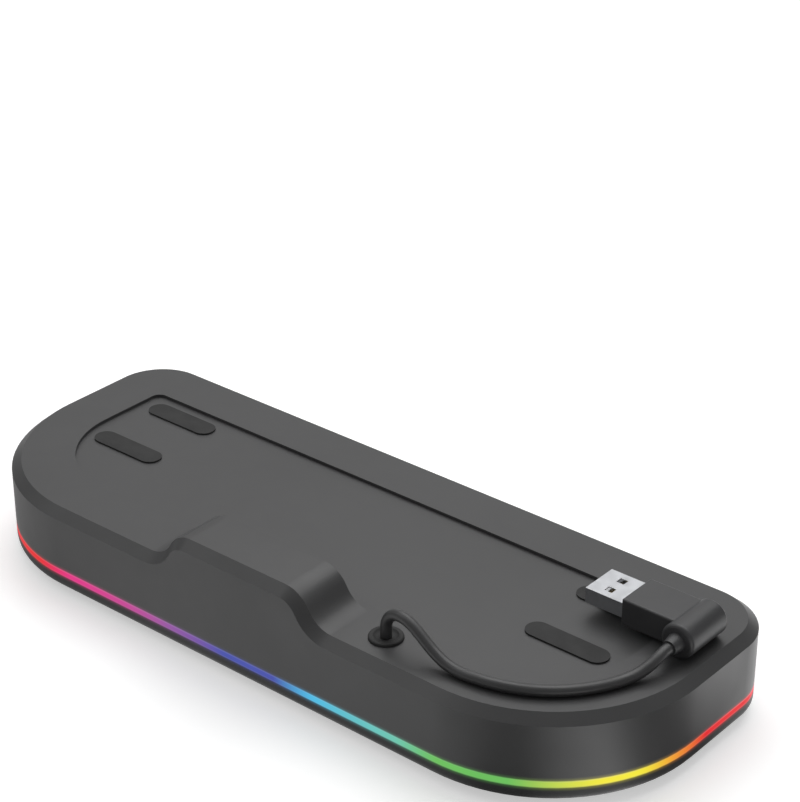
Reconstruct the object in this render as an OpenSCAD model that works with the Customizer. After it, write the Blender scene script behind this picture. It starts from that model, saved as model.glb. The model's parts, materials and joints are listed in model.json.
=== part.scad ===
// Cooling stand for a console dock: a lit plinth with a shallow seat,
// a raised air nozzle at the rear, a radial blower inside and a short USB lead.
// X runs along the stand, the rear wall is on the -Y side, the feet stand on z = 0.

/* [Case] */
// Length of the case
case_len = 236; // [212:2:280]
// Depth of the case, rear wall to front wall
case_dep = 90; // [81:1:110]
// Height of the case, underside to flat top
case_h = 26; // [25:0.5:34]
// Radius of the rear corners
rear_r = 48; // [36:1:48]
// Radius of the front corners
front_r = 18; // [12:1:26]
// Thickness of the outer walls
wall_t = 2.4; // [2:0.1:3]
// Thickness of the top plate
top_t = 2.2; // [1.8:0.1:3]
// Thickness of the floor
floor_t = 2.2; // [1.8:0.1:2.6]
// Width of the sloping rim, seen from above
rim_w = 3; // [1.5:0.25:4]
// Height of the sloping rim
rim_h = 2.5; // [1.5:0.25:3.5]
// Radius of the lower outer edge
sole_r = 3; // [1.5:0.25:3.5]

/* [Seat] */
// Level strip between the nozzle and the seat
seat_gap = 0.7; // [0.5:0.1:6]
// Depth of the seat below the flat top
seat_depth = 1; // [0.6:0.1:1.6]
// Radius of the seat's front corners
seat_corner_r = 3; // [2:0.5:8]
// Length of a grip pad
pad_len = 26; // [12:1:40]
// Width of a grip pad
pad_w = 7; // [4:0.5:9]
// Height of a grip pad
pad_h = 0.5; // [0.3:0.1:0.9]

/* [Air nozzle] */
// Length of the nozzle's level top
hump_flat = 35; // [24:1:50]
// Length of each curved shoulder
hump_blend = 16; // [12:1:22]
// Height of the nozzle above the flat top
hump_h = 9.5; // [7:0.5:12]
// Depth of the nozzle, from the rear wall
hump_dep = 18.3; // [17:0.1:21]
// Wall of the nozzle
hump_wall = 2; // [1.6:0.1:2.4]
// Width of the outlet window
mouth_w = 40; // [28:1:42]
// Height of the outlet window
mouth_h = 6; // [4.5:0.25:8]
// Width of one outlet slot
mouth_slot = 2.4; // [1.8:0.1:3.2]
// Bars between the outlet slots
mouth_bar = 1.2; // [0.8:0.1:1.8]

/* [Light band] */
// Height of the light band above the underside
band_z = 5.2; // [4.6:0.1:6]
// Height of the light band
band_h = 1.2; // [0.8:0.1:1.6]
// Depth of the light guide
band_w = 3.6; // [2.8:0.1:4]
// Pitch of the lamps along the band
lamp_pitch = 20; // [14:1:30]
// Side of one lamp
lamp_w = 2.8; // [2:0.1:3.5]
// Thickness of one lamp
lamp_t = 1; // [0.8:0.1:1.1]
// Height of the lamp tape
tape_h = 5; // [4:0.25:6]
// Thickness of the lamp tape
tape_t = 0.3; // [0.2:0.05:0.4]

/* [Blower] */
// Gap between the scroll and the rib that holds the lamps
blower_gap = 1.3; // [1:0.1:8]
// Number of impeller blades
blade_count = 24; // [16:1:28]
// Thickness of a blade
blade_t = 0.9; // [0.7:0.1:1.2]
// Depth of the blade ring, inlet side to back plate
blade_ring = 6; // [5:0.5:7]
// Gap between the impeller and the start of the scroll
scroll_gap = 2; // [1.5:0.25:3]
// Widening of the scroll over its turn
scroll_growth = 12; // [9:0.5:12]
// Wall of the scroll
scroll_wall = 1.5; // [1.2:0.1:1.8]
// Height of the blower
blower_h = 16; // [15:0.5:16.5]
// How far the air inlet lies inside the impeller's rim
inlet_lap = 3; // [2.5:0.5:5]
// Radius of the motor shaft
shaft_r = 1; // [0.75:0.05:1.25]
// Radial clearance of the shaft in its bearing
shaft_fit = 0.03; // [0.02:0.01:0.06]

/* [Intake grille] */
// Width of a slot
intake_slot = 2.8; // [2:0.1:3.2]
// Web between two rings
intake_web = 1.7; // [1.4:0.1:2.4]
// Radius of the closed centre
intake_hub = 5; // [3:0.5:6]
// Spokes across the rings
intake_spokes = 6; // [4:1:8]

/* [Feet and screws] */
// Radius of a foot
foot_r = 7; // [5:0.5:8]
// How far the feet stand below the case
foot_h = 2; // [1.5:0.25:3]
// Depth of the recess that holds a foot
foot_sink = 0.6; // [0.4:0.1:1]
// Radius of a case screw
screw_r = 1.2; // [1:0.1:1.4]
// Radius of a case screw's head
screw_head_r = 2.3; // [1.9:0.1:2.4]
// Wall of a screw boss
boss_wall = 2; // [1.6:0.1:2.2]

/* [Mode button] */
// Width of the mode button
button_w = 14; // [10:0.5:20]
// Height of the mode button
button_h = 5; // [4:0.25:6]
// How far the button stands out of the front wall
button_proud = 0.7; // [0.5:0.1:1.2]
// Clearance round the button
button_fit = 0.2; // [0.15:0.05:0.3]

/* [USB lead] */
// Diameter of the lead
cord_d = 3.2; // [2.8:0.1:3.6]
// Radius of the grommet's collar
grommet_r = 4.8; // [4.2:0.1:5.4]
// Height of the grommet's collar
grommet_h = 0.9; // [0.6:0.1:1.2]
// Diameter of the plug's round grip
grip_d = 10; // [9:0.5:11]
// Length of the plug's round grip
grip_len = 16.5; // [15:0.5:20]
// Length of the plug's flat body
plug_len = 11.5; // [9:0.5:13]
// Width of the plug's flat body
plug_w = 13.4; // [13:0.2:15]
// Thickness of the plug's flat body
plug_t = 8; // [6.5:0.5:8.5]

/* [Hidden] */

// Facets: steps per quarter turn of an outline, per arc of the nozzle, and round a small circle
corner_steps = 22;
hump_steps = 8;
fine_fn = 48;
// Small overlap that keeps joined forms one solid
weld = 0.01;

// Levels, from the ground up
half_len = case_len / 2;
half_dep = case_dep / 2;
seat_inset = hump_dep + seat_gap;
sole_z = foot_h;
floor_z = sole_z + floor_t;
band_low = sole_z + band_z;
band_top = band_low + band_h;
top_z = sole_z + case_h;
plate_z = top_z - top_t;
seat_z = top_z - seat_depth;
seat_under = seat_z - top_t;
seat_wall = 2;

// Lamp tape and the rib it is stuck to
tape_inset = band_w + lamp_t + 0.3;
rib_t = 1.4;
rib_inset = tape_inset + tape_t;
tape_low = band_low + band_h / 2 - tape_h / 2;
rib_top = tape_low + tape_h + 0.3;

// Nozzle: two equal arcs make each shoulder
hump_r = (hump_blend * hump_blend + hump_h * hump_h) / (4 * hump_h);
hump_turn = 2 * atan(hump_h / hump_blend);
hump_half = hump_flat / 2 + hump_blend;
hump_front = -half_dep + hump_dep;
hump_foot = min(plate_z, top_z - rim_h) - 0.4;
mouth_z = top_z + 0.7;

// Air duct: an elbow from the blower's outlet up to the nozzle, just in front of the lamp rib
blower_low = floor_z + 1;
blower_plate = 1.5;
duct_front = hump_front - 1.5;
duct_wall = 1.4;
duct_half = 21;
duct_gap = 0.6;
duct_r = duct_front - duct_wall + half_dep - rib_inset - rib_t - duct_gap;
duct_low = blower_low + blower_plate - duct_wall;
duct_bend_z = duct_low + duct_r;
duct_back = duct_front - duct_wall - duct_r;
duct_sill = 0.2;

// Blower: the largest impeller that the depth has room for, to the half millimetre, and its scroll
blower_top = blower_low + blower_h;
scroll_from = 225;
scroll_to = 540;
scroll_front = 450;
outlet_neck = 5.2;
front_growth = scroll_growth * (scroll_front - scroll_from) / (scroll_to - scroll_from);
blower_room = half_dep - rib_inset - rib_t - blower_gap - duct_front;
fan_r = floor(blower_room - outlet_neck - 2 * scroll_gap - front_growth - scroll_wall) / 2;
scroll_r = fan_r + scroll_gap;
scroll_max = scroll_r + scroll_growth;
tongue_x = scroll_r * cos(scroll_from);
outlet_reach = scroll_r + outlet_neck;
blower_x = (scroll_max - tongue_x) / 2;
blower_y = duct_front + outlet_reach;
ear_r = 3.4;
ear_angle = [290, 400, 500];
ear_screw_r = 1;
// Places of the ears, just outside the scroll
ear_at = [for (a = ear_angle) (scroll_radius(a) + scroll_wall + ear_r - 0.8) * [cos(a), sin(a)]];

// Impeller and motor, from the inlet side up
fan_low = blower_low + blower_plate + 1.2;
fan_top = blower_top - blower_plate - 1.9;
hub_r = round(1.13 * fan_r) / 2;
hub_wall = 1.2;
hub_low = fan_low + 0.7;
back_plate = 1.2;
shroud_w = 1.4;
tube_low = hub_low + hub_wall + 1.1;
tube_top = blower_top - blower_plate;
// Inside the hub: everything but the air gap keeps its share of the hub's radius
motor_share = hub_r / 13;
tube_r = 3.5 * motor_share;
bearing_r = 2.6 * motor_share;
magnet_t = 1.6 * motor_share;
core_ring = 1.5 * motor_share;
pole_rim = 1.3 * motor_share;
pole_w = 1.8 * motor_share;
coil_t = motor_share;
magnet_r = hub_r - hub_wall;
air_gap = 0.6;
stator_r = magnet_r - magnet_t - air_gap;
stator_low = tube_low + 0.7;
stator_h = 4;
stator_poles = 4;
coil_over = 0.7;
motor_board_t = 1;
motor_board_z = fan_top + 0.5;

// Intake: as many rings of slots as the seal leaves room for
inlet_r = fan_r - inlet_lap;
seal_r = inlet_r + 4;
seal_w = 2;
intake_reach = seal_r - seal_w - 0.5 - intake_hub;
intake_rings = floor((intake_reach + intake_web) / (intake_slot + intake_web));

// Lead's exit, beside the nozzle
exit_at = [hump_half + 11.5, -half_dep + seat_inset - seat_wall - grommet_r - 0.6];

// Screws, feet and pads: places on the +X side, the other side mirrors them
screw_at = [
    in_corner(29.5, 13.5),
    [exit_at[0] + 17, exit_at[1]],
    [half_len - 20, half_dep - 11.5]];
foot_at = [in_corner(62, 18.5), [half_len - 36, half_dep - 16]];
pad_x = half_len - seat_inset - 4 - pad_len / 2;
pad_at = [[pad_x, -0.5 - pad_w / 2], [pad_x, half_dep - seat_inset - 3.5 - pad_w / 2]];
boss_r = screw_r + boss_wall;
boss_low = floor_z + 0.4;
screw_len = 10;
screw_head_h = 1.4;

// Control board, its parts and the mode button
board_size = [50, 28, 1.6];
board_x = -half_len + 51;
board_front = half_dep - wall_t - 6.8;
board_z = floor_z + 7.2;
board_top = board_z + board_size[2];
post_x = board_size[0] / 2 - 4;
board_post = [
    for (x = [-post_x, post_x]) for (y = [3.5 - board_size[1] / 2, board_size[1] / 2 - 6]) [x, y]];
connector_size = [4.8, 4.4, 4.2];
connector_set = 0.4;
connector_at = [9 - board_size[0] / 2, board_size[0] / 2 - 15, board_size[0] / 2 - 9.5];
chip_x = connector_at[0] + 16;
capacitor_r = 2;
capacitor_x = [connector_at[0] + 2, connector_at[0] + 8];
capacitor_y = -board_size[1] / 2 + connector_set + connector_size[1] + 0.2 + capacitor_r;
switch_size = [6.2, 3.6, 4.4];
switch_y = board_front - 0.2;
button_z = board_top + switch_size[2] / 2;
plunger_r = 1.2;
plunger_out = 0.9;
button_flange = 1.2;
button_back = switch_y + plunger_out;

// Lead: from its exit up, over and along the top to the plug
dish_depth = 0.6;
grommet_neck = grommet_r - 1;
exit_z = top_z + grommet_h - dish_depth;
cord_r = cord_d / 2;
cord_sides = 8;
grip_r = grip_d / 2;
grip_z = top_z + grip_r;
cord_end = [half_len - 9.6, exit_at[1] + 36.9];
// Its route: steps from the exit, heights above the flat top; the steps along X stretch to reach the plug
lead_stretch = (cord_end[0] - exit_at[0]) / 63.4;
lead_line = [
    [0, 0, exit_z - top_z], [0, 0, 2.5], [0.2, 0, 4.8], [1.3, -0.1, 7], [3.5, -0.3, 8.6], [6.3, -0.6, 9.1],
    [9.2, -0.9, 8.5], [12.2, -1.2, 7], [15.2, -1.5, 5.2], [18.4, -1.8, 3.5], [22, -2, 2.2],
    [26, -2, cord_r], [30, -1.6, cord_r], [35, -0.6, cord_r], [40, 1.1, cord_r], [44.6, 3.4, cord_r],
    [49, 6.5, cord_r], [53, 10.4, cord_r], [56.4, 14.9, cord_r], [59.2, 20, cord_r], [61.4, 25.4, 2],
    [62.7, 29.4, 3.3], [63.3, 32.6, 4.5], [63.4, 34.8, grip_r], [63.4, 36.9, grip_r]];
route = [for (p = lead_line) [exit_at[0] + lead_stretch * p[0], exit_at[1] + p[1], top_z + p[2]]];
// Inside: down to the floor, along the rear wall, then forward and up to the board
plug_in = [board_x + connector_at[2], board_front - board_size[1] + connector_set, board_top + 2.1];
inner_z = floor_z + cord_r + 0.1;
inner_y = -half_dep + rib_inset + rib_t + cord_r + 0.1;
inner_drop = [[0, 0, 1], [0, 0, 0.81], [-0.2, 0.15, 0.45], [-1.5, 0.5, 0.2], [-5, 0.85, 0.06], [-11, 1, 0]];
inner_wall = [for (x = [22, 0, -22]) [x, inner_y, inner_z]];
inner_rise = [
    [0.41, 0.06, 0], [0.71, 0.17, 0.01], [0.88, 0.32, 0.1], [0.95, 0.48, 0.32], [0.98, 0.63, 0.64],
    [1, 0.76, 0.9], [1, 0.88, 1], [1, 1, 1]];
inner_route = concat(
    [for (p = inner_drop) [
        exit_at[0] + p[0],
        exit_at[1] + p[1] * (inner_y - exit_at[1]),
        inner_z + p[2] * (exit_z - inner_z)]],
    inner_wall,
    [for (p = inner_rise) [for (k = [0:2]) inner_wall[2][k] + p[k] * (plug_in[k] - inner_wall[2][k])]]);

// Plug, laid on its side
relief_len = 3.5;
grip_y = cord_end[1] + relief_len;
plug_y = grip_y + grip_len - plug_w / 2 - 0.4;
plug_x = cord_end[0] - plug_len - 2;
shell_size = [12, 12, 4.5];
shell_wall = 0.3;
tongue_size = [8.4, 11, 1.9];
contact_at = [-3.5, -1, 1, 3.5];

function arc(c, r, from, to, steps) =
    [for (i = [0:steps]) let (a = from + (to - from) * i / steps) c + r * [cos(a), sin(a)]];

// One corner of an outline: sx and sy say which corner, r its radius before the inset
function corner(sx, sy, r, inset, least, from) =
    let (q = max(r - inset, least))
    arc([sx * (half_len - inset - q), sy * (half_dep - inset - q)], q, from, from + 90, corner_steps);

// A place in the rear corner on the +X side: direction from the corner's centre, distance from the wall
function in_corner(turn, inset) =
    [half_len - rear_r, rear_r - half_dep] + (rear_r - inset) * [cos(turn), -sin(turn)];

// The case outline, moved inwards
function outline(inset, least = 1) = concat(
    corner(-1, -1, rear_r, inset, least, 180),
    corner(1, -1, rear_r, inset, least, 270),
    corner(1, 1, front_r, inset, least, 0),
    corner(-1, 1, front_r, inset, least, 90));

// A ring of plan points lifted to a height
function at_z(points, z) = [for (p = points) [p[0], p[1], z]];

// The nozzle's line in the XZ plane, moved inwards by d
function hump_line(d) =
    let (
        upper = arc([hump_flat / 2, hump_h - hump_r], hump_r - d, 90, 90 - hump_turn, hump_steps),
        lower = arc([hump_half, hump_r], hump_r + d, 270 - hump_turn, 270, hump_steps),
        right = concat(upper, [for (i = [1:hump_steps]) lower[i]]))
    concat([for (i = [len(right) - 1:-1:0]) [-right[i][0], right[i][1]]], right);

// The nozzle's section at depth y, closed below by a straight foot
function hump_ring(d, y) = concat(
    [for (p = hump_line(d)) [p[0], y, top_z + p[1]]],
    [[hump_half, y, hump_foot], [-hump_half, y, hump_foot]]);

// Distance travelled along a closed line at each of its points
function travelled(p) =
    [for (i = 0, s = 0; i < len(p); s = s + norm(p[(i + 1) % len(p)] - p[i]), i = i + 1) s];
function loop_len(p) =
    let (s = travelled(p), last = len(p) - 1) s[last] + norm(p[0] - p[last]);

// Place and heading at distance d along a closed line
function along(p, s, d) =
    let (
        i = max([for (k = [0:len(p) - 1]) if (s[k] <= d) k]),
        step = p[(i + 1) % len(p)] - p[i],
        place = p[i] + step * (d - s[i]) / norm(step))
    [place[0], place[1], atan2(step[1], step[0])];

// Scroll wall about the blower's centre, moved outwards by d
function scroll_radius(a) = scroll_r + scroll_growth * (a - scroll_from) / (scroll_to - scroll_from);
function scroll_turn(d, from) = [
    for (i = [0:60]) let (a = from + (scroll_to - from) * i / 60)
    (scroll_radius(a) + d) * [cos(a), sin(a)]];
function scroll_inner() = concat(
    scroll_turn(0, scroll_from),
    [[-scroll_max, -outlet_reach - 1], [tongue_x, -outlet_reach - 1]]);
function scroll_outer() = concat(
    scroll_turn(scroll_wall, scroll_from + 8),
    [[-scroll_max - scroll_wall, -outlet_reach], [tongue_x + scroll_wall, -outlet_reach]]);

// Rings of points round a line in space, carried along without twist
function unit(v) = v / norm(v);
function heading(p, i) = unit(p[min(i + 1, len(p) - 1)] - p[max(i - 1, 0)]);
function square_to(n, t) = unit(n - (n * t) * t);
function side_vectors(p) = [
    for (i = 0, n = square_to([1, 0.01, 0], heading(p, 0)); i < len(p);
        i = i + 1, n = square_to(n, heading(p, min(i, len(p) - 1)))) n];
function tube_rings(p, r, sides) =
    let (n = side_vectors(p))
    [for (i = [0:len(p) - 1]) let (t = heading(p, i), m = cross(t, n[i]))
        [for (k = [0:sides - 1]) let (a = 360 * (k + 0.5) / sides) p[i] + r * (cos(a) * n[i] + sin(a) * m)]];

// Solid through rings that have the same even number of points; each end is a strip across its ring
function end_strip(n, first, flip) = [
    for (i = [0:n / 2 - 2])
    let (a = first + i, b = a + 1, d = first + n - 1 - i, c = d - 1)
    each flip ? [[c, b, a], [d, c, a]] : [[a, b, c], [a, c, d]]];
module loft(rings) {
    n = len(rings[0]);
    last = len(rings) - 1;
    polyhedron(
        points = [for (ring = rings) each ring],
        faces = concat(
            end_strip(n, 0, false),
            end_strip(n, last * n, true),
            [for (k = [0:last - 1]) for (i = [0:n - 1])
                let (j = (i + 1) % n, low = k * n, high = (k + 1) * n)
                each [[low + i, high + i, high + j], [low + i, high + j, low + j]]]));
}

module plate(inset, low, high, least = 1) {
    translate([0, 0, low]) linear_extrude(high - low) polygon(outline(inset, least));
}

module mirrored(places) {
    for (p = places) for (side = [-1, 1]) translate([side * p[0], p[1], 0]) children();
}

module post(r, low, high) {
    translate([0, 0, low]) cylinder(r = r, h = high - low, $fn = fine_fn);
}

module round_bar(w, h, dep) {
    // Bar with half-round ends, along X, pushed along +Y
    rotate([-90, 0, 0]) linear_extrude(dep) {
        square([w - h, h], center = true);
        for (side = [-1, 1]) translate([side * (w - h) / 2, 0]) circle(d = h, $fn = fine_fn);
    }
}

// Housing: upper and lower shells, light band

module hump_body() {
    loft([hump_ring(rim_h, -half_dep), hump_ring(0, -half_dep + rim_w), hump_ring(0, hump_front)]);
}

// The chamber's section: the same line moved inwards, cut off level above the top plate
function chamber_ring(y) =
    [for (p = hump_line(hump_wall)) if (p[1] > 0.1) [p[0], y, top_z + p[1]]];

module hump_hollow() {
    inside = duct_half - duct_wall;
    loft([chamber_ring(duct_back), chamber_ring(hump_front - hump_wall)]);
    // Hole that the duct feeds it through
    translate([-inside, duct_back + duct_wall, hump_foot - 1])
        cube([2 * inside, duct_r - duct_wall, top_z + hump_wall - hump_foot + 1]);
}

module top_shell() color([0.17, 0.17, 0.175]) {
    difference() {
        union() {
            difference() {
                loft([
                    at_z(outline(0), band_top),
                    at_z(outline(0), top_z - rim_h),
                    at_z(outline(rim_w), top_z)]);
                plate(wall_t, band_top - 1, plate_z);
            }
            hump_body();
            plate(seat_inset - seat_wall, seat_under, plate_z + weld, seat_corner_r);
            mirrored(screw_at) post(boss_r, boss_low, plate_z + weld);
        }
        hump_hollow();
        plate(seat_inset, seat_z, top_z + 1, seat_corner_r);
        translate([0, hump_front - hump_wall - 1, mouth_z + mouth_h / 2])
            round_bar(mouth_w, mouth_h, hump_wall + 2);
        translate([exit_at[0], exit_at[1], 0]) post(grommet_neck, plate_z - 1, top_z + 1);
        mirrored(screw_at) post(screw_r + 0.05, boss_low - 1, boss_low + screw_len);
        translate([board_x, half_dep - wall_t - 1, button_z])
            round_bar(button_w + 2 * button_fit, button_h + 2 * button_fit, wall_t + 2);
    }
}

module sole() {
    steps = 6;
    loft(concat(
        [for (i = [0:steps]) let (a = 90 * i / steps)
            at_z(outline(sole_r * (1 - sin(a))), sole_z + sole_r * (1 - cos(a)))],
        [at_z(outline(0), band_low)]));
}

module intake_slots() {
    difference() {
        for (i = [0:intake_rings - 1]) {
            inner = intake_hub + i * (intake_slot + intake_web);
            difference() {
                circle(r = inner + intake_slot, $fn = 96);
                circle(r = inner, $fn = 96);
            }
        }
        for (i = [0:intake_spokes - 1])
            rotate(360 * i / intake_spokes) translate([0, -intake_web / 2])
                square([seal_r, intake_web]);
    }
}

module bottom_cover() color([0.13, 0.13, 0.135]) {
    difference() {
        union() {
            difference() {
                sole();
                plate(wall_t, floor_z, band_low + 1);
            }
            difference() {
                plate(rib_inset, floor_z - weld, rib_top);
                plate(rib_inset + rib_t, floor_z, rib_top + 1);
            }
            at_board() for (p = board_post) translate(p) post(2.2, floor_z - weld, board_z);
            at_blower() for (p = ear_at) translate(p) post(ear_r - 0.4, floor_z - weld, blower_low);
        }
        translate([blower_x, blower_y, sole_z - 1]) linear_extrude(floor_t + 2) intake_slots();
        mirrored(foot_at) post(foot_r, sole_z - 1, sole_z + foot_sink);
        mirrored(screw_at) {
            post(screw_r + 0.2, sole_z - 1, floor_z + 1);
            post(screw_head_r + 0.2, sole_z - 1, sole_z + screw_head_h);
        }
        at_board() for (p = board_post) translate(p) post(0.85, floor_z + 1, board_z + 1);
        at_blower() for (p = ear_at) translate(p) post(ear_screw_r + 0.05, sole_z + 0.6, blower_low + 1);
    }
}

module light_guide() color([0.9, 0.92, 0.95]) {
    difference() {
        plate(0, band_low, band_top);
        plate(band_w, band_low - 1, band_top + 1);
    }
}

module lamp_tape() color([0.92, 0.92, 0.9]) {
    difference() {
        plate(tape_inset, tape_low, tape_low + tape_h);
        plate(tape_inset + tape_t, tape_low - 1, tape_low + tape_h + 1);
    }
}

module lamps() color([0.95, 0.94, 0.88]) {
    line = outline(tape_inset);
    steps = travelled(line);
    count = round(loop_len(line) / lamp_pitch);
    for (i = [0:count - 1]) {
        at = along(line, steps, (i + 0.5) * loop_len(line) / count);
        translate([at[0], at[1], band_low + band_h / 2]) rotate(at[2])
            translate([-lamp_w / 2, -lamp_t - 0.05, -lamp_w / 2]) cube([lamp_w, lamp_t, lamp_w]);
    }
}

// Nozzle grille, duct and seat pads

module nozzle_grille() color([0.1, 0.1, 0.105]) {
    face = mouth_h - 0.2;
    pitch = mouth_slot + mouth_bar;
    count = floor((mouth_w - mouth_h) / pitch);
    translate([0, hump_front - hump_wall, mouth_z + mouth_h / 2]) difference() {
        round_bar(mouth_w - 0.2, face, hump_wall - 0.3);
        for (i = [0:count]) translate([(i - count / 2) * pitch, -1, 0])
            translate([-mouth_slot / 2, 0, -face / 2 + 0.8]) cube([mouth_slot, hump_wall + 2, face - 1.6]);
    }
}

module duct_profile(d, top) {
    // Quarter-round elbow in the YZ plane, its wall moved inwards by d
    polygon(concat(
        arc([duct_front - duct_wall, duct_bend_z], duct_r - d, 270, 180, 16),
        [[duct_back + d, top], [duct_front - d, top]],
        d == 0 ? [[duct_front, duct_low]] : []));
}

module air_duct() color([0.2, 0.2, 0.21]) {
    difference() {
        translate([-duct_half, 0, 0]) rotate([90, 0, 90])
            linear_extrude(2 * duct_half) duct_profile(0, hump_foot);
        translate([-duct_half + duct_wall, 0, 0]) rotate([90, 0, 90])
            linear_extrude(2 * (duct_half - duct_wall)) duct_profile(duct_wall, hump_foot + 1);
        translate([blower_x - scroll_max, duct_front - duct_wall - 1, blower_low + blower_plate + duct_sill])
            cube([scroll_max + tongue_x, duct_wall + 2, blower_h - 2 * (blower_plate + duct_sill)]);
    }
}

module grip_pads() color([0.09, 0.09, 0.09]) {
    mirrored(pad_at) translate([0, 0, seat_z]) linear_extrude(pad_h) {
        square([pad_len - pad_w, pad_w], center = true);
        for (side = [-1, 1]) translate([side * (pad_len - pad_w) / 2, 0]) circle(d = pad_w, $fn = fine_fn);
    }
}

// Blower: housing, cover, impeller and motor

module at_blower() {
    translate([blower_x, blower_y, 0]) children();
}

module ears(low, high) {
    for (p = ear_at) translate([p[0], p[1], low]) difference() {
        cylinder(r = ear_r, h = high - low, $fn = fine_fn);
        translate([0, 0, -1]) cylinder(r = ear_screw_r + 0.15, h = high - low + 2, $fn = fine_fn);
    }
}

module blower_housing() color([0.14, 0.14, 0.15]) at_blower() {
    difference() {
        translate([0, 0, blower_low + blower_plate])
            linear_extrude(blower_h - blower_plate) polygon(scroll_outer());
        translate([0, 0, blower_low]) linear_extrude(blower_h - blower_plate) polygon(scroll_inner());
    }
    difference() {
        post(tube_r, tube_low, tube_top + weld);
        post(bearing_r, tube_low - 1, tube_top);
    }
}

module blower_cover() color([0.14, 0.14, 0.15]) at_blower() {
    difference() {
        translate([0, 0, blower_low]) linear_extrude(blower_plate) polygon(scroll_outer());
        translate([0, 0, blower_low - 1]) cylinder(r = inlet_r, h = blower_plate + 2, $fn = 96);
    }
    ears(blower_low, blower_low + blower_plate);
}

function blade_line(r, a) = r * [cos(a), sin(a)];
function blade_sweep(t) = 26 * t * t;
module blade() {
    // Forward-curved blade: its angle runs ahead as its radius grows
    steps = 6;
    half = blade_t / 2;
    inner = fan_r - blade_ring;
    front = [for (i = [0:steps]) let (t = i / steps, r = inner + (blade_ring - 0.3) * t)
        blade_line(r, blade_sweep(t) + half * 57.3 / r)];
    back = [for (i = [steps:-1:0]) let (t = i / steps, r = inner + (blade_ring - 0.3) * t)
        blade_line(r, blade_sweep(t) - half * 57.3 / r)];
    polygon(concat(front, back));
}

module impeller() color([0.11, 0.11, 0.115]) at_blower() {
    translate([0, 0, hub_low]) rotate_extrude($fn = 96) polygon([
        [0, 0], [hub_r - 1, 0], [hub_r, 1], [hub_r, fan_top - hub_low - back_plate],
        [fan_r, fan_top - hub_low - back_plate], [fan_r, fan_top - hub_low],
        [hub_r - hub_wall, fan_top - hub_low], [hub_r - hub_wall, hub_wall],
        [2.4, hub_wall], [2.4, hub_wall + 0.7], [shaft_r, hub_wall + 0.7], [shaft_r, 0.6], [0, 0.6]]);
    for (i = [0:blade_count - 1]) rotate(360 * i / blade_count)
        translate([0, 0, fan_low + 0.5]) linear_extrude(fan_top - back_plate / 2 - fan_low - 0.5) blade();
    translate([0, 0, fan_low]) difference() {
        cylinder(r = fan_r, h = 1, $fn = 96);
        translate([0, 0, -1]) cylinder(r = fan_r - shroud_w, h = 3, $fn = 96);
    }
}

module motor_shaft() color([0.75, 0.76, 0.78]) at_blower() {
    post(shaft_r, hub_low + 0.6, tube_top - 0.7);
}

module motor_bearing() color([0.7, 0.52, 0.3]) at_blower() {
    difference() {
        post(bearing_r, tube_low + 0.3, tube_top - 0.4);
        post(shaft_r + shaft_fit, tube_low - 1, tube_top);
    }
}

module magnet_ring() color([0.25, 0.24, 0.24]) at_blower() {
    translate([0, 0, hub_low + hub_wall + 0.4]) difference() {
        cylinder(r = magnet_r, h = fan_top - hub_low - hub_wall - 0.8, $fn = 96);
        translate([0, 0, -1]) cylinder(r = magnet_r - magnet_t, h = blower_h, $fn = 96);
    }
}

module stator_core() color([0.45, 0.46, 0.48]) at_blower() {
    translate([0, 0, stator_low]) linear_extrude(stator_h) difference() {
        union() {
            circle(r = tube_r + core_ring, $fn = fine_fn);
            for (i = [0:stator_poles - 1]) rotate(360 * i / stator_poles + 45) {
                translate([0, -pole_w / 2]) square([stator_r - pole_rim / 2, pole_w]);
                intersection() {
                    difference() {
                        circle(r = stator_r, $fn = fine_fn);
                        circle(r = stator_r - pole_rim, $fn = fine_fn);
                    }
                    polygon([[0, 0], [stator_r + 2, -stator_r * 0.7], [stator_r + 2, stator_r * 0.7]]);
                }
            }
        }
        circle(r = tube_r, $fn = fine_fn);
    }
}

module stator_coils() color([0.72, 0.42, 0.22]) at_blower() {
    coil_in = tube_r + core_ring + 0.1;
    coil_out = stator_r - pole_rim - 0.5;
    coil_w = pole_w + 2 * coil_t;
    for (i = [0:stator_poles - 1]) rotate(360 * i / stator_poles + 45)
        translate([coil_in, 0, stator_low - coil_over]) difference() {
            translate([0, -coil_w / 2, 0]) cube([coil_out - coil_in, coil_w, stator_h + 2 * coil_over]);
            translate([-1, -pole_w / 2, coil_over]) cube([coil_out, pole_w, stator_h]);
        }
}

module motor_board() color([0.1, 0.32, 0.18]) at_blower() {
    translate([0, 0, motor_board_z]) difference() {
        cylinder(r = magnet_r - 0.6, h = motor_board_t, $fn = 96);
        translate([0, 0, -1]) cylinder(r = tube_r, h = 4, $fn = fine_fn);
    }
}

module intake_seal() color([0.2, 0.2, 0.2]) at_blower() {
    translate([0, 0, floor_z]) difference() {
        cylinder(r = seal_r, h = blower_low - floor_z, $fn = 96);
        translate([0, 0, -1]) cylinder(r = seal_r - seal_w, h = 4, $fn = 96);
    }
}

// Fasteners and feet

module pan_screw(head_r, head_h, r, length) {
    // Head down, shank up, with a cross recess
    difference() {
        union() {
            cylinder(r = head_r, h = head_h, $fn = fine_fn);
            cylinder(r = r, h = head_h + length, $fn = fine_fn);
        }
        for (turn = [0, 90]) rotate(turn) translate([-head_r * 0.6, -head_r * 0.12, -1])
            cube([head_r * 1.2, head_r * 0.24, head_h * 0.6 + 1]);
    }
}

module blower_screws() color([0.6, 0.6, 0.62]) at_blower() {
    for (p = ear_at) translate([p[0], p[1], blower_low + blower_plate + 1.2]) mirror([0, 0, 1])
        pan_screw(1.9, 1.2, ear_screw_r, 3.6);
}

module case_screws() color([0.3, 0.3, 0.32]) {
    mirrored(screw_at) translate([0, 0, sole_z])
        pan_screw(screw_head_r, screw_head_h, screw_r, screw_len - 1);
}

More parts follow.
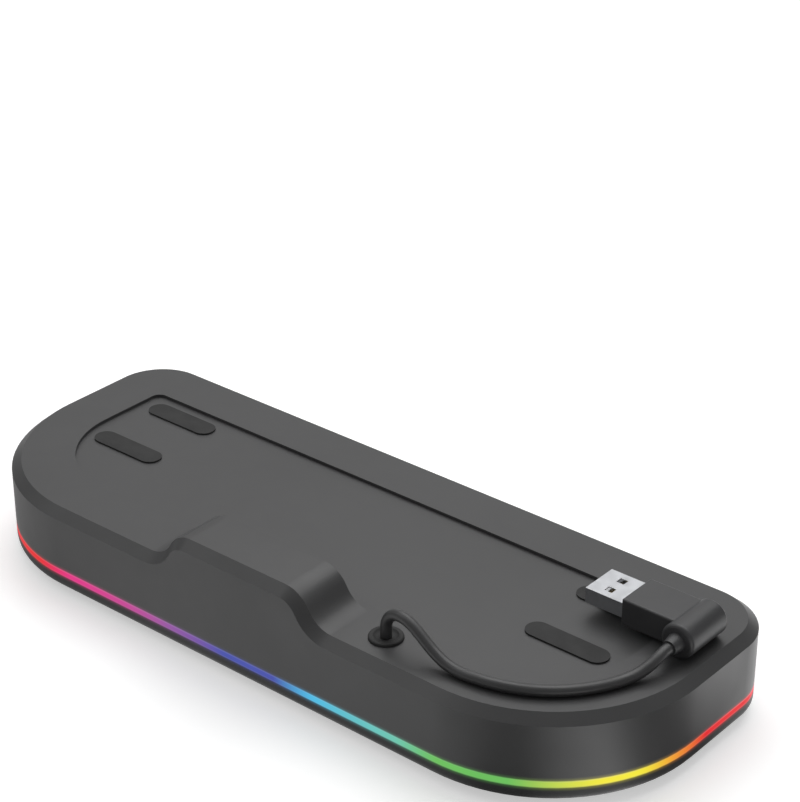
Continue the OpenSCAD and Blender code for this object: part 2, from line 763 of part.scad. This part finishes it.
module feet() color([0.08, 0.08, 0.08]) {
    mirrored(foot_at) rotate_extrude($fn = 64) polygon([
        [0, 0], [foot_r - 1.2, 0], [foot_r - 0.6, 0.6], [foot_r - 0.6, sole_z], [foot_r - 0.1, sole_z],
        [foot_r - 0.1, sole_z + foot_sink], [0, sole_z + foot_sink]]);
}

// Control board and mode button

module at_board() {
    translate([board_x, board_front - board_size[1] / 2, 0]) children();
}

module control_board() color([0.08, 0.28, 0.16]) at_board() {
    translate([0, 0, board_z]) difference() {
        translate([-board_size[0] / 2, -board_size[1] / 2, 0]) cube(board_size);
        for (p = board_post) translate([p[0], p[1], -1]) cylinder(r = 1.1, h = 4, $fn = fine_fn);
    }
}

module controller_chip() color([0.12, 0.12, 0.13]) at_board() {
    translate([chip_x - 3.5, -6, board_top + 0.2]) cube([7, 7, 1.1]);
    for (side = [-1, 1]) for (i = [0:4]) translate([chip_x + side * 3.9 - 0.5, -5.2 + i * 1.3, board_top])
        cube([1, 0.5, 0.6]);
}

module board_capacitors() color([0.55, 0.57, 0.6]) at_board() {
    for (x = capacitor_x) translate([x, capacitor_y, 0]) post(capacitor_r, board_top, board_top + 5.4);
}

module board_connectors() color([0.9, 0.88, 0.8]) at_board() {
    low = [-connector_size[0] / 2, connector_set - board_size[1] / 2, board_top];
    for (x = connector_at) translate([x, 0, 0] + low) difference() {
        cube(connector_size);
        translate([0.6, -1, 0.6]) cube(connector_size - [1.2, 0, 1.4]);
    }
}

module board_screws() color([0.6, 0.6, 0.62]) at_board() {
    for (p = board_post) translate([p[0], p[1], board_top + 1]) mirror([0, 0, 1]) pan_screw(1.6, 1, 0.8, 5.5);
}

module mode_switch() color([0.15, 0.15, 0.16]) {
    translate([board_x - switch_size[0] / 2, switch_y - switch_size[1], board_top]) difference() {
        cube(switch_size);
        translate([switch_size[0] / 2, switch_size[1] + 1, switch_size[2] / 2]) rotate([90, 0, 0])
            cylinder(r = plunger_r + 0.1, h = 3, $fn = fine_fn);
    }
}

module switch_plunger() color([0.85, 0.85, 0.82]) {
    translate([board_x, button_back, button_z]) rotate([90, 0, 0])
        post(plunger_r, 0, plunger_out + 1.4);
}

module mode_button() color([0.2, 0.2, 0.21]) {
    inside = half_dep - wall_t - 0.1 - button_flange;
    translate([board_x, 0, button_z]) {
        translate([0, inside, 0]) round_bar(button_w, button_h, half_dep + button_proud - inside);
        translate([0, inside, 0]) round_bar(button_w + 3, button_h + 1.6, button_flange);
        rotate([-90, 0, 0]) post(1.8, button_back, inside + weld);
    }
}

// Lead, grommet and plug

module cord_grommet() color([0.08, 0.08, 0.085]) {
    neck = grommet_neck;
    bore = cord_r + 0.02;
    translate([exit_at[0], exit_at[1], plate_z]) rotate_extrude($fn = fine_fn) polygon(concat(
        [[bore, -1.2], [grommet_r, -1.2], [grommet_r, 0], [neck, 0], [neck, top_t], [grommet_r, top_t]],
        arc([grommet_r - 0.5, top_t + grommet_h - 0.5], 0.5, 0, 90, 4),
        arc([grommet_r - 1.1, top_t + grommet_h - 0.5], 0.5, 90, 150, 3),
        [[cord_r + 0.9, top_t + grommet_h - dish_depth], [bore, top_t + grommet_h - dish_depth]]));
}

module inner_lead() color([0.09, 0.09, 0.095]) {
    loft(tube_rings(inner_route, cord_r, cord_sides));
}

module usb_cord() color([0.11, 0.11, 0.115]) {
    loft(tube_rings(route, cord_r, cord_sides));
}

module plug_relief() color([0.1, 0.1, 0.105]) {
    translate([cord_end[0], cord_end[1], grip_z]) rotate([-90, 0, 0])
        cylinder(r1 = cord_r + 0.5, r2 = cord_r + 1.1, h = relief_len, $fn = fine_fn);
}

module plug_body() color([0.12, 0.12, 0.125]) {
    translate([cord_end[0], grip_y, grip_z]) rotate([-90, 0, 0]) rotate_extrude($fn = 64) polygon(concat(
        [[0, 0]], arc([grip_r - 1, 1], 1, 270, 360, 6),
        arc([grip_r - 0.6, grip_len - 0.6], 0.6, 0, 90, 4), [[0, grip_len]]));
    edge = 0.6;
    low = [plug_x - plug_len / 2, plug_y - plug_w / 2, grip_z - plug_t / 2];
    high = [cord_end[0], plug_y + plug_w / 2, grip_z + plug_t / 2];
    hull() for (x = [low[0] + edge, high[0]]) for (y = [low[1] + edge, high[1] - edge])
        for (z = [low[2] + edge, high[2] - edge]) translate([x, y, z]) sphere(r = edge, $fn = 24);
}

module plug_shell() color([0.75, 0.76, 0.78]) {
    tip = plug_x - plug_len / 2;
    translate([tip - shell_size[0], plug_y - shell_size[1] / 2, grip_z - shell_size[2] / 2]) difference() {
        cube(shell_size);
        translate([-1, shell_wall, shell_wall])
            cube([shell_size[0] + 2, shell_size[1] - 2 * shell_wall, shell_size[2] - 2 * shell_wall]);
        for (y = [2.2, 7.6]) for (z = [-1, shell_size[2] - 1]) translate([4.5, y, z]) cube([2.4, 2.2, 2]);
    }
}

module plug_tongue() color([0.88, 0.88, 0.86]) {
    tip = plug_x - plug_len / 2;
    translate([tip - tongue_size[0], plug_y - tongue_size[1] / 2, grip_z - shell_size[2] / 2 + shell_wall])
        cube(tongue_size);
}

module plug_contacts() color([0.83, 0.68, 0.36]) {
    tip = plug_x - plug_len / 2;
    top = grip_z - shell_size[2] / 2 + shell_wall + tongue_size[2];
    for (y = contact_at) translate([tip - tongue_size[0] + 0.6, plug_y + y - 0.5, top])
        cube([tongue_size[0] - 1.2, 1, 0.2]);
}

top_shell();
bottom_cover();
light_guide();
lamp_tape();
lamps();
nozzle_grille();
grip_pads();
air_duct();
intake_seal();
blower_housing();
blower_cover();
impeller();
motor_shaft();
motor_bearing();
magnet_ring();
stator_core();
stator_coils();
motor_board();
blower_screws();
control_board();
controller_chip();
board_capacitors();
board_connectors();
board_screws();
mode_switch();
switch_plunger();
mode_button();
case_screws();
feet();
cord_grommet();
inner_lead();
usb_cord();
plug_relief();
plug_body();
plug_shell();
plug_tongue();
plug_contacts();
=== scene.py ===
import json
import math

import bpy
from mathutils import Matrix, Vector


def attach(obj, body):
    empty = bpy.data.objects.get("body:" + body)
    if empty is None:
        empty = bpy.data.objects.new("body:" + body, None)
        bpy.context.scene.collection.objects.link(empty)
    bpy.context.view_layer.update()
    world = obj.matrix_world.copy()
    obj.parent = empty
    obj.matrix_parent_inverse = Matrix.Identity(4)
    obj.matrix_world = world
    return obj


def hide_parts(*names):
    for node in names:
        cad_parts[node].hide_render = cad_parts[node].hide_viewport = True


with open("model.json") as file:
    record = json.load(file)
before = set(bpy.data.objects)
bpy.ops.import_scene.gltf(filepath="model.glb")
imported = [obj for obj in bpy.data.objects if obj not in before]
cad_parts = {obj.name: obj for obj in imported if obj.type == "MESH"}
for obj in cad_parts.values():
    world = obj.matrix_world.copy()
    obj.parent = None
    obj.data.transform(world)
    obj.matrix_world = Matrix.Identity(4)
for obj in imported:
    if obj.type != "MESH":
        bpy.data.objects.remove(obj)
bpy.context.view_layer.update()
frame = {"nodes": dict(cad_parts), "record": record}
NODES = frame["nodes"]
RECORD = frame["record"]

# The camera that the photograph's vanishing points give, in the part's frame: metres, degrees, a lens in mm
CAMERA_AT = (0.37097, -0.41624, 0.36295)
CAMERA_PITCH = 27.8
CAMERA_YAW = 40.0
CAMERA_LENS = 103.5
CAMERA_CLIP = (0.05, 20)

# The lead: its thickness in metres, and its centre line in mm, as in the CAD source
CORD_D = 0.0032
CORD_ROUTE = [
    (45, -33.4, 28.3), (45, -33.4, 30.5), (45.2, -33.4, 32.8), (46.3, -33.5, 35),
    (48.5, -33.7, 36.6), (51.3, -34, 37.1), (54.2, -34.3, 36.5), (57.2, -34.6, 35),
    (60.2, -34.9, 33.2), (63.4, -35.2, 31.5), (67, -35.4, 30.2), (71, -35.4, 29.6), (75, -35, 29.6),
    (80, -34, 29.6), (85, -32.3, 29.6), (89.6, -30, 29.6), (94, -26.9, 29.6), (98, -23, 29.6),
    (101.4, -18.5, 29.6), (104.2, -13.4, 29.6), (106.4, -8, 30), (107.7, -4, 31.3),
    (108.3, -0.8, 32.5), (108.4, 1.4, 33), (108.4, 3.5, 33)]
CORD_STEPS = 5
CORD_SIDES = 20
MM_PER_M = 1000
# Roughly the way from a tube's start to the first corner of its first ring, never along the tube
FIRST_SIDE = (1, 0.01, 0)

# Two faces that meet at more than this angle keep a sharp edge, and corners this close, in metres, become one
SHARP_ANGLE = math.radians(28)
MERGE_DISTANCE = 1e-6


# Camera and lead

def make_camera():
    data = bpy.data.cameras.new("photo_camera")
    data.lens = CAMERA_LENS
    data.sensor_fit = "HORIZONTAL"
    data.clip_start, data.clip_end = CAMERA_CLIP
    camera = bpy.data.objects.new("photo_camera", data)
    camera.location = CAMERA_AT
    camera.rotation_euler = (math.radians(90 - CAMERA_PITCH), 0, math.radians(CAMERA_YAW))
    bpy.context.scene.collection.objects.link(camera)
    bpy.context.scene.camera = camera


def mesh_object(name, points, faces):
    mesh = bpy.data.meshes.new(name)
    mesh.from_pydata([tuple(p) for p in points], [], faces)
    mesh.validate()
    for face in mesh.polygons:
        face.use_smooth = True
    piece = bpy.data.objects.new(name, mesh)
    bpy.context.scene.collection.objects.link(piece)
    return piece


def rounded_path(points, steps):
    """Points of a Catmull-Rom line through the given points."""
    out = []
    for i in range(len(points) - 1):
        a = points[max(i - 1, 0)]
        b, c = points[i], points[i + 1]
        d = points[min(i + 2, len(points) - 1)]
        for k in range(steps):
            t = k / steps
            out.append(0.5 * ((2 * b) + (c - a) * t + (2 * a - 5 * b + 4 * c - d) * t * t
                              + (3 * b - a - 3 * c + d) * t ** 3))
    return out + [points[-1]]


def tube(name, path, radius, sides):
    """A round tube along a path, closed at both ends."""
    points, faces = [], []
    last = len(path) - 1
    side = Vector(FIRST_SIDE)
    for i, p in enumerate(path):
        along = (path[min(i + 1, last)] - path[max(i - 1, 0)]).normalized()
        side = (side - along * side.dot(along)).normalized()
        other = along.cross(side)
        for k in range(sides):
            turn = 2 * math.pi * k / sides
            points.append(p + radius * (math.cos(turn) * side + math.sin(turn) * other))
    for i in range(last):
        for k in range(sides):
            j = (k + 1) % sides
            faces.append((i * sides + k, i * sides + j, (i + 1) * sides + j, (i + 1) * sides + k))
    faces.append(tuple(reversed(range(sides))))
    faces.append(tuple(last * sides + k for k in range(sides)))
    return mesh_object(name, points, faces)


def make_cord():
    route = [Vector(p) / MM_PER_M for p in CORD_ROUTE]
    path = rounded_path(route, CORD_STEPS)
    lead = tube("lead", path, CORD_D / 2, CORD_SIDES)
    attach(lead, "case")
    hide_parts("usb_cord")
    return lead


# Smooth shading of the curved faces

def smoothing_nodes():
    """Smooth faces and edges, except where two faces meet at more than the sharp angle."""
    group = bpy.data.node_groups.new("smooth_by_angle", "GeometryNodeTree")
    group.interface.new_socket("Geometry", in_out="INPUT", socket_type="NodeSocketGeometry")
    group.interface.new_socket("Geometry", in_out="OUTPUT", socket_type="NodeSocketGeometry")
    enter = group.nodes.new("NodeGroupInput")
    leave = group.nodes.new("NodeGroupOutput")
    merge = group.nodes.new("GeometryNodeMergeByDistance")
    merge.inputs["Distance"].default_value = MERGE_DISTANCE
    faces = group.nodes.new("GeometryNodeSetShadeSmooth")
    edges = group.nodes.new("GeometryNodeSetShadeSmooth")
    sharp = group.nodes.new("GeometryNodeSetShadeSmooth")
    edges.domain = sharp.domain = "EDGE"
    sharp.inputs["Shade Smooth"].default_value = False
    angle = group.nodes.new("GeometryNodeInputMeshEdgeAngle")
    over = group.nodes.new("FunctionNodeCompare")
    over.operation = "GREATER_THAN"
    over.inputs["B"].default_value = SHARP_ANGLE
    for source, target in ((enter.outputs[0], merge.inputs["Geometry"]),
                           (merge.outputs["Geometry"], faces.inputs["Geometry"]),
                           (faces.outputs["Geometry"], edges.inputs["Geometry"]),
                           (edges.outputs["Geometry"], sharp.inputs["Geometry"]),
                           (angle.outputs["Unsigned Angle"], over.inputs["A"]),
                           (over.outputs["Result"], sharp.inputs["Selection"]),
                           (sharp.outputs["Geometry"], leave.inputs[0])):
        group.links.new(source, target)
    return group


def smooth(piece, group):
    mesh = piece.data
    if "custom_normal" in mesh.attributes:
        mesh.attributes.remove(mesh.attributes["custom_normal"])
    piece.modifiers.new("smooth_by_angle", "NODES").node_group = group
    piece.modifiers.new("flat_faces", "WEIGHTED_NORMAL").keep_sharp = True


# Materials

# Which part of a noise's range is used, for colour and for everything else
TINT_NOISE = (0.35, 0.65)
FULL_NOISE = (0.3, 0.7)
# How far roughness drifts, how deep in metres the grain of a surface is, and how fine
ROUGH_DRIFT = 0.05
GRAIN_DEPTH = 0.00005
GRAIN_DETAIL = 3


class Shader:
    """A material under construction: a principled shader and the nodes that feed it."""

    def __init__(self, name):
        self.material = bpy.data.materials.new(name)
        self.material.use_nodes = True
        self.tree = self.material.node_tree
        self.main = self.tree.nodes["Principled BSDF"]
        self.place = self.node("ShaderNodeTexCoord").outputs["Object"]

    def node(self, kind, **values):
        made = self.tree.nodes.new(kind)
        for key, value in values.items():
            setattr(made, key, value)
        return made

    def link(self, source, target):
        self.tree.links.new(source, target)

    def feed(self, sockets, values):
        """Give each socket its value: a number, a vector, or another node's output."""
        for socket, value in zip(sockets, values):
            if isinstance(value, (int, float, tuple)):
                socket.default_value = value
            else:
                self.link(value, socket)

    def noise(self, scale, detail=2.0):
        made = self.node("ShaderNodeTexNoise")
        made.inputs["Scale"].default_value = scale
        made.inputs["Detail"].default_value = detail
        self.link(self.place, made.inputs["Vector"])
        return made.outputs["Fac"]

    def ramp(self, source, stops):
        made = self.node("ShaderNodeValToRGB")
        elements = made.color_ramp.elements
        while len(elements) > 1:
            elements.remove(elements[-1])
        elements[0].position, elements[0].color = stops[0][0], (*stops[0][1], 1)
        for at, colour in stops[1:]:
            elements.new(at).color = (*colour, 1)
        self.link(source, made.inputs["Fac"])
        return made.outputs["Color"]

    def spread(self, source, taken, given, smooth=False):
        """Map one range of values onto another, clamped at the ends."""
        made = self.node("ShaderNodeMapRange", interpolation_type="SMOOTHSTEP" if smooth else "LINEAR")
        for key, value in zip(("From Min", "From Max", "To Min", "To Max"), (*taken, *given)):
            made.inputs[key].default_value = value
        self.link(source, made.inputs["Value"])
        return made.outputs["Result"]

    def maths(self, operation, *values):
        made = self.node("ShaderNodeMath", operation=operation)
        self.feed(made.inputs, values)
        return made.outputs["Value"]

    def vector(self, operation, *values):
        made = self.node("ShaderNodeVectorMath", operation=operation)
        self.feed(made.inputs, values)
        return made.outputs["Value" if operation == "LENGTH" else "Vector"]

    def bump(self, height, strength):
        made = self.node("ShaderNodeBump")
        made.inputs["Strength"].default_value = strength
        made.inputs["Distance"].default_value = GRAIN_DEPTH
        self.link(height, made.inputs["Height"])
        self.link(made.outputs["Normal"], self.main.inputs["Normal"])


def plain(name, colour, rough, drift=0.06, scale=60, grain=0.0, grain_scale=2500, metallic=0.0, specular=0.5):
    """A surface whose colour and roughness drift a little from place to place, with a fine grain."""
    made = Shader(name)
    low = [c * (1 - drift) for c in colour]
    high = [c * (1 + drift) for c in colour]
    stops = list(zip(TINT_NOISE, (low, high)))
    made.link(made.ramp(made.noise(scale), stops), made.main.inputs["Base Color"])
    made.link(made.spread(made.noise(scale * 2), FULL_NOISE, (rough - ROUGH_DRIFT, rough + ROUGH_DRIFT)),
              made.main.inputs["Roughness"])
    made.main.inputs["Metallic"].default_value = metallic
    made.main.inputs["Specular IOR Level"].default_value = specular
    if grain:
        made.bump(made.noise(grain_scale, GRAIN_DETAIL), grain)
    return made


LOOKS = {
    "shell_plastic": dict(colour=(0.052, 0.052, 0.053), rough=0.42, drift=0.05, scale=25, grain=0.25),
    "sole_plastic": dict(colour=(0.050, 0.050, 0.051), rough=0.5, scale=25, grain=0.25, specular=0.25),
    "light_guide": dict(colour=(0.02, 0.02, 0.021), rough=0.5, drift=0.02, scale=80, specular=0.1),
    "tape": dict(colour=(0.75, 0.75, 0.72), rough=0.5, drift=0.03),
    "lamp": dict(colour=(0.85, 0.82, 0.6), rough=0.25, drift=0.03),
    "grille_plastic": dict(colour=(0.028, 0.028, 0.029), rough=0.5, scale=40, grain=0.2),
    "silicone": dict(colour=(0.022, 0.022, 0.022), rough=0.75, drift=0.08, scale=90, grain=0.3),
    "foam": dict(colour=(0.05, 0.05, 0.05), rough=0.95, drift=0.2, scale=600, grain=0.9, grain_scale=1200),
    "blower_plastic": dict(colour=(0.03, 0.03, 0.032), rough=0.55, drift=0.08, grain=0.3),
    "steel": dict(colour=(0.55, 0.56, 0.58), rough=0.34, drift=0.03, scale=200, grain=0.015,
                  grain_scale=3000, metallic=1.0),
    "bronze": dict(colour=(0.50, 0.32, 0.14), rough=0.5, drift=0.08, scale=400, grain=0.3, metallic=1.0),
    "magnet": dict(colour=(0.09, 0.088, 0.085), rough=0.6, drift=0.1, scale=300, grain=0.3),
    "core_steel": dict(colour=(0.32, 0.33, 0.35), rough=0.42, scale=300, grain=0.2, metallic=1.0),
    "copper": dict(colour=(0.62, 0.26, 0.10), rough=0.3, drift=0.08, scale=700, grain=0.4, metallic=1.0),
    "board": dict(colour=(0.015, 0.11, 0.04), rough=0.35, drift=0.15, scale=300, grain=0.15),
    "chip": dict(colour=(0.02, 0.02, 0.021), rough=0.5, drift=0.08, scale=300, grain=0.2),
    "can": dict(colour=(0.55, 0.56, 0.58), rough=0.3, drift=0.04, scale=300, metallic=1.0),
    "connector": dict(colour=(0.70, 0.66, 0.55), rough=0.45, drift=0.04, scale=200),
    "lead": dict(colour=(0.045, 0.045, 0.046), rough=0.42, scale=120, grain=0.15),
    "plug_plastic": dict(colour=(0.045, 0.045, 0.047), rough=0.42, scale=80, grain=0.2),
    "contact": dict(colour=(0.75, 0.52, 0.18), rough=0.25, drift=0.04, scale=300, metallic=1.0),
}

# Light of the band: the lamps' colours, and the place in mm of each lamp's light round the outline.
# The front, which the photograph does not show, runs back through the same colours.
RED = (0.80, 0.015, 0.02)
PINK = (0.78, 0.03, 0.24)
VIOLET = (0.30, 0.09, 0.36)
BLUE = (0.06, 0.08, 0.40)
CYAN = (0.07, 0.50, 0.80)
TEAL = (0.15, 0.56, 0.43)
GREEN = (0.15, 0.53, 0.11)
YELLOW = (0.92, 0.82, 0.04)
ORANGE = (0.90, 0.34, 0.03)
BAND_LIGHTS = [
    (-118, 3, RED), (-78, -45, RED), (-65, -45, PINK), (-25, -45, VIOLET), (-4, -45, BLUE), (15, -45, BLUE),
    (29, -45, CYAN), (58, -45, TEAL), (70, -45, GREEN), (92, -40, GREEN), (109, -25, YELLOW),
    (114, -15, YELLOW), (117, -5, ORANGE), (118, 8, RED), (118, 30, RED),
    (80, 45, PINK), (45, 45, VIOLET), (10, 45, BLUE), (-15, 45, CYAN), (-40, 45, TEAL), (-60, 45, GREEN),
    (-85, 45, YELLOW), (-108, 40, ORANGE),
]
# How evenly the guide shines, and how close together its brighter spots are
GUIDE_LEVEL = (0.95, 1.0)
GUIDE_NOISE = 90
# Height of the middle of the band, in metres
BAND_MID = 0.0078
# Centres of the case's round corners at its right end, and how far from them its outer wall starts, in metres
REAR_CENTRE = (0.070, 0.003)
REAR_WALL = 0.0465
FRONT_CENTRE = (0.100, 0.027)
FRONT_WALL = 0.0165
# How far from the middle of the band its painted spill light reaches, in metres, and how strong it is
RIM_LIT = 0.0008
RIM_DARK = 0.0012
RIM_LEVEL = 0.7
HAZE_REACH = 0.0022
HAZE_LEVEL = 0.18


def band_colour(shader):
    """Colour of the band's light at this place, by the angle about the middle of the stand."""
    radial = shader.node("ShaderNodeTexGradient", gradient_type="RADIAL")
    shader.link(shader.place, radial.inputs["Vector"])
    stops = sorted((math.atan2(y, x) / (2 * math.pi) + 0.5, c) for x, y, c in BAND_LIGHTS)
    ends = [(a + b) / 2 for a, b in zip(stops[0][1], stops[-1][1])]
    return shader.ramp(radial.outputs["Fac"], [(0.0, ends)] + stops + [(1.0, ends)])


def past_corner(shader, centre, least, way):
    """1 where a place lies further than least past the centre of a round corner, at either end.
    way is -1 for the rear corners and 1 for the front ones."""
    across = shader.vector("ABSOLUTE", shader.vector("MULTIPLY", shader.place, (1, 0, 0)))
    folded = shader.vector("MULTIPLY_ADD", shader.place, (0, way, 0), across)
    beyond = shader.vector("SUBTRACT", folded, (centre[0], way * centre[1], 0))
    outside = shader.vector("MAXIMUM", beyond, (0, 0, 0))
    return shader.maths("GREATER_THAN", shader.vector("LENGTH", outside), least)


def painted_band_glow(shader):
    """Painted light: the light that the band spills, painted as emission into the plastic next to it, on the
    outer wall only.
    """
    wall = shader.maths("MAXIMUM", past_corner(shader, REAR_CENTRE, REAR_WALL, -1),
                        past_corner(shader, FRONT_CENTRE, FRONT_WALL, 1))
    axes = shader.node("ShaderNodeSeparateXYZ")
    shader.link(shader.place, axes.inputs["Vector"])
    away = shader.maths("ABSOLUTE", shader.maths("SUBTRACT", axes.outputs["Z"], BAND_MID))
    rim = shader.spread(away, (RIM_LIT, RIM_DARK), (RIM_LEVEL, 0), smooth=True)
    haze = shader.spread(away, (RIM_LIT, HAZE_REACH), (HAZE_LEVEL, 0), smooth=True)
    shader.link(band_colour(shader), shader.main.inputs["Emission Color"])
    shader.link(shader.maths("MULTIPLY", shader.maths("ADD", rim, haze), wall),
                shader.main.inputs["Emission Strength"])


def guide_light(shader):
    """The band's own light."""
    shader.link(band_colour(shader), shader.main.inputs["Emission Color"])
    shader.link(shader.spread(shader.noise(GUIDE_NOISE), FULL_NOISE, GUIDE_LEVEL),
                shader.main.inputs["Emission Strength"])


def make_materials():
    made = {slot: plain(slot, **look) for slot, look in LOOKS.items()}
    # The shell and sole plastic glow with painted spill light from the band
    painted_band_glow(made["shell_plastic"])
    painted_band_glow(made["sole_plastic"])
    guide_light(made["light_guide"])
    return {slot: shader.material for slot, shader in made.items()}


def dress(piece, material):
    piece.data.materials.clear()
    piece.data.materials.append(material)


# Stage and light

# Half the floor's side, and how far it lies below the feet, in metres
FLOOR_HALF = 3.0
FLOOR_DROP = 0.0002
FLOOR_ROUGH = 0.9
# The floor's shade for the camera and for the light that it sends back, and how far it drifts
FLOOR_SEEN = 0.80
FLOOR_DIFFUSE = 0.30
FLOOR_DRIFT = (0.99, 1.0)
FLOOR_NOISE = 3
# White that the camera sees on the floor, near the stand and far from it, and where it changes, in metres
FLOOR_WHITE = (0.47, 0.80)
FLOOR_CHANGE = (0.35, 1.6)
# Painted reflection: how bright the floor looks in the plastic, a glow that only glossy rays see and that
# paints highlights and darker stretches on the walls, by the angle about the centre of the rear right corner,
# in degrees, anticlockwise from the left
FLOOR_PAINTED_REFLECTION = [
    (0, 0.3), (15, 0.4), (26, 0.85), (60, 0.85), (95, 0.6), (106, 0.2), (120, 0.2), (138, 1.65), (152, 2.0),
    (166, 0.4), (178, 0.15), (190, 0.15), (204, 0.8), (216, 1.6), (260, 1.3), (345, 0.3), (360, 0.3)]
# The brightest of these, because a ramp holds values up to 1
PAINTED_REFLECTION_MOST = max(level for _, level in FLOOR_PAINTED_REFLECTION)
WORLD_LEVEL = 0.30
# Soft lights: name, place, size in metres, power in watts
LIGHTS = [
    ("key", (-0.15, 0.45, 1.1), (1.2, 1.0), 9.5),
    ("front", (-0.85, 1.0, 0.75), (1.2, 1.0), 1.2),
    ("side", (-0.85, -0.5, 1.1), (0.8, 0.8), 2.4),
]
LIGHT_AIM = (0, 0, 0.01)


# The floor: white for the camera, with a painted reflection, a glow that only glossy rays see
def floor_look():
    look = Shader("floor_white")
    rays = look.node("ShaderNodeLightPath")
    seen = rays.outputs["Is Camera Ray"]
    tone = look.maths("ADD", look.maths("MULTIPLY", seen, FLOOR_SEEN - FLOOR_DIFFUSE), FLOOR_DIFFUSE)
    tone = look.maths("MULTIPLY", tone, look.spread(look.noise(FLOOR_NOISE), FULL_NOISE, FLOOR_DRIFT))
    look.link(tone, look.main.inputs["Base Color"])
    look.main.inputs["Roughness"].default_value = FLOOR_ROUGH
    look.main.inputs["Specular IOR Level"].default_value = 0.0

    about = look.node("ShaderNodeMapping")
    about.inputs["Location"].default_value = (-REAR_CENTRE[0], -REAR_CENTRE[1], 0)
    look.link(look.place, about.inputs["Vector"])
    angle = look.node("ShaderNodeTexGradient", gradient_type="RADIAL")
    look.link(about.outputs["Vector"], angle.inputs["Vector"])
    # Painted reflection: floor glow for glossy rays only, by the angle about the rear right corner
    shades = look.ramp(angle.outputs["Fac"], [(a / 360, [v / PAINTED_REFLECTION_MOST] * 3) for a, v in FLOOR_PAINTED_REFLECTION])
    painted_reflection = look.maths("MULTIPLY", look.maths("MULTIPLY", shades, PAINTED_REFLECTION_MOST),
                          rays.outputs["Is Glossy Ray"])
    white = look.spread(look.vector("LENGTH", look.place), FLOOR_CHANGE, FLOOR_WHITE, smooth=True)
    look.main.inputs["Emission Color"].default_value = (1, 1, 1, 1)
    look.link(look.maths("ADD", look.maths("MULTIPLY", seen, white), painted_reflection),
              look.main.inputs["Emission Strength"])
    return look.material


def make_stage():
    corners = [(-1, -1), (1, -1), (1, 1), (-1, 1)]
    floor = mesh_object("floor", [(x * FLOOR_HALF, y * FLOOR_HALF, -FLOOR_DROP) for x, y in corners],
                        [(0, 1, 2, 3)])
    floor.data.materials.append(floor_look())


def make_world():
    """A dim world for the light that it gives, and a white one for the camera and through glass."""
    world = bpy.data.worlds.new("studio")
    world.use_nodes = True
    tree = world.node_tree
    background = tree.nodes["Background"]
    rays = tree.nodes.new("ShaderNodeLightPath")
    seen = tree.nodes.new("ShaderNodeMath")
    seen.operation = "MAXIMUM"
    tree.links.new(rays.outputs["Is Camera Ray"], seen.inputs[0])
    tree.links.new(rays.outputs["Is Transmission Ray"], seen.inputs[1])
    level = tree.nodes.new("ShaderNodeMapRange")
    level.inputs["To Min"].default_value = WORLD_LEVEL
    level.inputs["To Max"].default_value = 1.0
    tree.links.new(seen.outputs["Value"], level.inputs["Value"])
    background.inputs["Color"].default_value = (1, 1, 1, 1)
    tree.links.new(level.outputs["Result"], background.inputs["Strength"])
    bpy.context.scene.world = world


def soft_light(name, at, size, power):
    data = bpy.data.lights.new(name, "AREA")
    data.shape = "RECTANGLE"
    data.size, data.size_y = size
    data.energy = power
    light = bpy.data.objects.new(name, data)
    light.location = at
    light.rotation_euler = (Vector(LIGHT_AIM) - Vector(at)).to_track_quat("-Z", "Y").to_euler()
    bpy.context.scene.collection.objects.link(light)


make_camera()
lead = make_cord()

SMOOTHING = smoothing_nodes()
for node in NODES.values():
    if node.type == "MESH" and node.name != "usb_cord":
        smooth(node, SMOOTHING)

MATERIALS = make_materials()
for row in RECORD["subparts"]:
    dress(NODES[row["node"]], MATERIALS[row["material_slot"]])
dress(lead, MATERIALS["lead"])

make_stage()
make_world()
for row in LIGHTS:
    soft_light(*row)

bpy.context.scene.view_settings.view_transform = "Standard"
